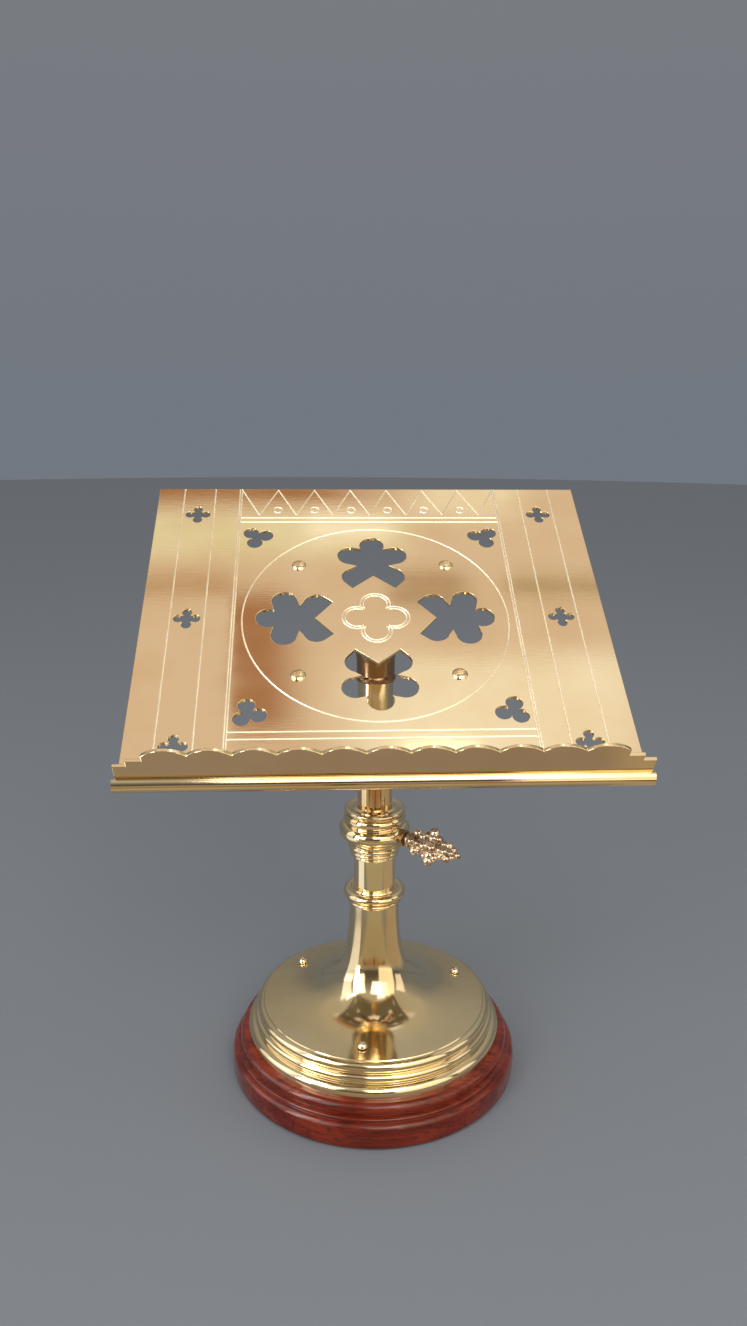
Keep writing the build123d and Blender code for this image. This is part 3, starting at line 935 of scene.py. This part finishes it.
def bar(name, section, half_length, *dress, ease=0.3):
    """A closed (depth, height) section of the desk's frame run along X, with eased ends."""
    p = eased(section, ease)
    if signed_area(p) < 0:
        p = p[::-1]
    normals = outline_normals(p)
    n = len(p)
    stops = [(-half_length, ease), (-half_length + 0.3 * ease, 0.3 * ease), (-half_length + ease, 0)]
    stops += [(-x, inset) for x, inset in reversed(stops)]
    verts, norms = [], []
    for x, inset in stops:
        moved = p - normals * inset
        verts += [(x, y, z) for y, z in moved]
        norms += [(0, a, b) for a, b in normals]
    faces, loops = [], []
    for k in range(len(stops) - 1):
        for i in range(n):
            on = (i + 1) % n
            quad = [k * n + on, (k + 1) * n + on, (k + 1) * n + i, k * n + i]
            faces.append(quad)
            loops += [norms[j] for j in quad]
    faces.append(list(range(n - 1, -1, -1)))
    loops += [(-1, 0, 0)] * n
    last = (len(stops) - 1) * n
    faces.append([last + i for i in range(n)])
    loops += [(1, 0, 0)] * n
    rotate, shift = np.array(DESK.to_3x3()), np.array(DESK.translation)
    verts = np.array(verts) @ rotate.T + shift
    return made_object(name, verts, faces, *dress, loop_normals=np.array(loops) @ rotate.T)


front, back = -LEDGE_FACE + 2.2, -126.0
strip = outline((front, 0.05), (back, 0.05), (back, 5.0), (front, 5.0))
bar("gallery_foot", strip, GALLERY_HALF, "desk", "brass_plate", plate_brass)
flat = -LEDGE_FACE - 0.05
half_round = outline((flat, 2.1), (flat, 11.9), ((flat - 4.85, 7.0), (flat, 2.1)), chord=0.3)
bar("half_round_nosing", half_round, PLATE_HALF, "desk", "brass_turned", turned_brass, ["ledge_nosing"])
upside_down = Matrix.Rotation(math.pi, 4, "X")
ledge_places = [DESK @ Matrix.Translation((x, -129.8, -PLATE_THICK)) @ upside_down for x in (-137.5, 137.5)]
ledge_heads = dict(radius=3.2, height=2.9, shank=1.5, length=6.5, slot_width=0.8)
ledge_dress = ("desk", "brass_turned", turned_brass, ["ledge_screws"])
slotted_screws("ledge_screw_heads", ledge_places, ledge_heads, *ledge_dress)

# CAD pieces that show as they are

for names, finish in (
    # desk bracket: its colour is partly painted shade from under the plate
    (("desk_bracket",), aged_and_shaded_brass),
    (("desk_nuts", "stem_guide", "stem_plug", "guide_ring"), turned_brass),
    (("base_washer", "base_nut", "bracket_grub_screw", "thumbscrew_shank"), steel),
    (("clamp_shoe",), hide),
):
    for node in names:
        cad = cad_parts[node]
        cad.data.materials.clear()
        cad.data.materials.append(finish)

# Floor, light and camera


ground, ground_surface, _, _ = shader("floor")
ground_surface.inputs["Base Color"].default_value = (0.33, 0.37, 0.44, 1)
ground_surface.inputs["Roughness"].default_value = 0.6
ground_surface.inputs["Specular IOR Level"].default_value = 0.0
bpy.ops.mesh.primitive_circle_add(vertices=128, radius=6.0, fill_type="NGON", location=(0, 0, -0.0002))
floor = bpy.context.object
floor.name = "floor"
floor.data.materials.append(ground)

world = bpy.data.worlds.new("studio")
bpy.context.scene.world = world
world.use_nodes = True
tree = world.node_tree
make, join = tree.nodes.new, tree.links.new
direction = make("ShaderNodeTexCoord")
split = make("ShaderNodeSeparateXYZ")
join(direction.outputs["Generated"], split.inputs["Vector"])
up = split.outputs["Z"]
before = (
    (0.0, (0.10, 0.082, 0.066)),
    (0.25, (0.13, 0.108, 0.086)),
    (0.60, (0.34, 0.31, 0.27)),
    (0.85, (0.55, 0.54, 0.52)),
)
behind = (
    (0.0, (0.17, 0.19, 0.22)),
    (0.32, (0.19, 0.20, 0.22)),
    (0.60, (0.35, 0.34, 0.31)),
    (0.85, (0.50, 0.47, 0.41)),
)
side = make("ShaderNodeMapRange")
side.interpolation_type = "SMOOTHSTEP"
side.inputs["From Min"].default_value, side.inputs["From Max"].default_value = -0.30, 0.20
join(split.outputs["Y"], side.inputs["Value"])
room = make("ShaderNodeMix")
room.data_type = "RGBA"
join(side.outputs["Result"], room.inputs["Factor"])
join(ramp(make, tree.links, up, before).outputs["Color"], room.inputs["A"])
join(ramp(make, tree.links, up, behind).outputs["Color"], room.inputs["B"])
join(room.outputs["Result"], tree.nodes["Background"].inputs["Color"])
tree.nodes["Background"].inputs["Strength"].default_value = 1.0


def card(name, low, high, height, soft, colour, strength=1.0):
    """A level glowing card with edges that fade out over soft metres, seen only in reflections."""
    (x0, y0), (x1, y1) = low, high
    mesh = bpy.data.meshes.new(name)
    corners = [(x0, y0, height), (x1, y0, height), (x1, y1, height), (x0, y1, height)]
    mesh.from_pydata(corners, [], [(0, 1, 2, 3)])
    piece = bpy.data.objects.new(name, mesh)
    bpy.context.scene.collection.objects.link(piece)
    material = bpy.data.materials.new(name)
    material.use_nodes = True
    nodes, links = material.node_tree.nodes, material.node_tree.links
    nodes.remove(nodes["Principled BSDF"])
    where, parts = nodes.new("ShaderNodeTexCoord"), nodes.new("ShaderNodeSeparateXYZ")
    links.new(where.outputs["Object"], parts.inputs["Vector"])
    fade = None
    for axis, edge, blur in zip("XXYY", (x0, x1, y0, y1), (soft[0], -soft[1], soft[2], -soft[3])):
        step = nodes.new("ShaderNodeMapRange")
        step.interpolation_type = "SMOOTHSTEP"
        step.inputs["From Min"].default_value = min(edge, edge + blur)
        step.inputs["From Max"].default_value = max(edge, edge + blur)
        if blur < 0:
            step.inputs["To Min"].default_value, step.inputs["To Max"].default_value = 1, 0
        links.new(parts.outputs[axis], step.inputs["Value"])
        if fade is None:
            fade = step.outputs["Result"]
        else:
            product = nodes.new("ShaderNodeMath")
            product.operation = "MULTIPLY"
            links.new(fade, product.inputs[0])
            links.new(step.outputs["Result"], product.inputs[1])
            fade = product.outputs["Value"]
    glow, clear = nodes.new("ShaderNodeEmission"), nodes.new("ShaderNodeBsdfTransparent")
    mix = nodes.new("ShaderNodeMixShader")
    glow.inputs["Color"].default_value, glow.inputs["Strength"].default_value = (*colour, 1), strength
    links.new(fade, mix.inputs["Fac"])
    links.new(clear.outputs["BSDF"], mix.inputs[1])
    links.new(glow.outputs["Emission"], mix.inputs[2])
    links.new(mix.outputs["Shader"], nodes["Material Output"].inputs["Surface"])
    mesh.materials.append(material)
    piece.visible_camera = piece.visible_diffuse = piece.visible_shadow = False


card("near_floor", (-1.1, -1.5), (1.1, -0.19), 0.0006, (0.3, 0.3, 0.4, 0.04), (0.42, 0.37, 0.25))
card("right_floor", (0.19, -0.23), (0.80, 0.20), 0.0006, (0.04, 0.3, 0.04, 0.12), (0.42, 0.34, 0.24))
card("ledge_floor", (-0.26, -0.19), (0.26, -0.10), 0.0005, (0.04, 0.04, 0.01, 0.01), (0.31, 0.255, 0.22))
card("rug", (-0.50, -0.90), (0.50, -0.44), 0.0009, (0.10, 0.10, 0.10, 0.05), (0.36, 0.20, 0.10))
card("rug_stripe", (-0.035, -0.90), (0.012, -0.43), 0.0012, (0.012, 0.012, 0.10, 0.04), (0.08, 0.02, 0.005))
card("rug_left", (-0.42, -0.60), (-0.28, -0.36), 0.0012, (0.03, 0.03, 0.05, 0.04), (0.14, 0.08, 0.035))
card("rug_right", (0.26, -0.60), (0.36, -0.36), 0.0012, (0.03, 0.03, 0.05, 0.04), (0.15, 0.08, 0.03))
card("ceiling", (-1.7, -1.0), (1.9, 1.15), 1.350, (0.5, 0.5, 0.4, 0.5), (0.48, 0.45, 0.38))
card("ceiling_glow", (-0.66, -0.22), (0.78, 0.62), 1.340, (0.12, 0.12, 0.10, 0.12), (0.76, 0.64, 0.58))
OVERHEAD = (
    ((-0.42, 0.27), (0.16, 0.376), (0.05, 0.10, 0.04, 0.02), (0.86, 0.86, 0.74), 1.0),
    ((-0.08, 0.30), (0.12, 0.372), (0.05, 0.06, 0.03, 0.02), (1.0, 1.0, 1.0), 1.1),
    ((0.08, 0.33), (0.36, 0.70), (0.10, 0.10, 0.06, 0.1), (0.95, 0.93, 0.88), 1.0),
    ((-0.50, 0.374), (0.14, 0.75), (0.1, 0.22, 0.018, 0.2), (0.38, 0.18, 0.08), 1.0),
    ((-0.50, 0.222), (-0.165, 0.262), (0.05, 0.02, 0.012, 0.02), (0.50, 0.34, 0.22), 1.0),
    ((0.25, 0.215), (0.70, 0.268), (0.05, 0.1, 0.015, 0.03), (0.50, 0.41, 0.30), 1.0),
    ((0.06, 0.195), (0.24, 0.275), (0.04, 0.06, 0.02, 0.03), (0.50, 0.38, 0.30), 1.0),
    ((-0.178, -0.03), (-0.035, 0.236), (0.006, 0.09, 0.06, 0.02), (0.42, 0.22, 0.13), 1.0),
    ((-0.06, -0.30), (0.62, 0.15), (0.15, 0.22, 0.1, 0.06), (1.0, 0.99, 0.98), 1.0),
    ((0.08, -0.12), (0.24, -0.01), (0.04, 0.05, 0.03, 0.03), (1.0, 0.97, 0.92), 2.2),
)
for number, (low, high, soft, colour, strength) in enumerate(OVERHEAD):
    card(f"card_{number}", low, high, 1.300 + 0.003 * (9 - number), soft, colour, strength)


def softbox(name, place, aim, size, power, colour):
    """A rectangular lamp that faces its aim."""
    lamp = bpy.data.lights.new(name, "AREA")
    lamp.shape, lamp.size, lamp.size_y = "RECTANGLE", size[0], size[1]
    lamp.energy, lamp.color = power, colour
    light = bpy.data.objects.new(name, lamp)
    light.location = place
    light.rotation_euler = (Vector(aim) - Vector(place)).to_track_quat("-Z", "Y").to_euler()
    bpy.context.scene.collection.objects.link(light)
    return light


def glint(name, place, aim, size, radiance, colour):
    """A soft panel that shows only in polished surfaces."""
    light = softbox(name, place, aim, size, radiance * math.pi * size[0] * size[1], colour)
    light.visible_diffuse = light.visible_camera = False


glint("left_streak", (-0.246, -0.046, 0.075), (0, 0, 0.075), (0.17, 0.15), 0.78, (1.0, 0.98, 0.94))
glint("left_wall", (-1.0, -0.07, 0.68), (0, 0, 0.68), (0.45, 1.04), 1.0, (1.0, 0.98, 0.96))
glint("left_panel", (-0.77, -0.46, 0.80), (0, 0, 0.80), (0.20, 1.6), 6.0, (1.0, 0.98, 0.94))
glint("high_left", (-0.85, -0.25, 1.45), (-0.05, -0.08, 0.03), (0.45, 0.55), 6.0, (1.0, 0.98, 0.94))
glint("right_panel", (0.585, -0.75, 0.80), (0, 0, 0.80), (0.85, 1.6), 1.1, (1.0, 0.93, 0.72))
glint("high_right", (0.42, -0.95, 1.95), (0, -0.08, 0.03), (0.5, 0.6), 5.0, (1.0, 0.95, 0.84))
softbox("window", (-1.30, -1.35, 1.05), (0, 0, 0.15), (0.8, 1.7), 9, (1.0, 0.99, 0.97))
softbox("front", (0.16, -1.68, 1.35), (0, 0, 0.2), (0.9, 1.2), 8, (1.0, 0.98, 0.94))
softbox("warm", (0.75, -1.60, 1.45), (0, 0, 0.2), (0.9, 1.2), 4, (1.0, 0.82, 0.62))
softbox("fill", (1.75, -0.30, 0.8), (0, 0, 0.15), (0.7, 1.2), 2.2, (1.0, 0.93, 0.84))

lens = bpy.data.cameras.new("camera")
lens.sensor_width = 36.0
lens.lens = 27.62
lens.clip_start, lens.clip_end = 0.01, 50
camera = bpy.data.objects.new("camera", lens)
camera.location = (-0.0392, -0.6501, 0.4611)
camera.rotation_euler = (
    Matrix.Rotation(math.radians(-3.32), 4, "Z")
    @ Matrix.Rotation(math.radians(90 - 14.31), 4, "X")
    @ Matrix.Rotation(math.radians(0.37), 4, "Z")
).to_euler()
bpy.context.scene.collection.objects.link(camera)
bpy.context.scene.camera = camera
bpy.context.scene.view_settings.view_transform = "Standard"

bpy.context.view_layer.update()
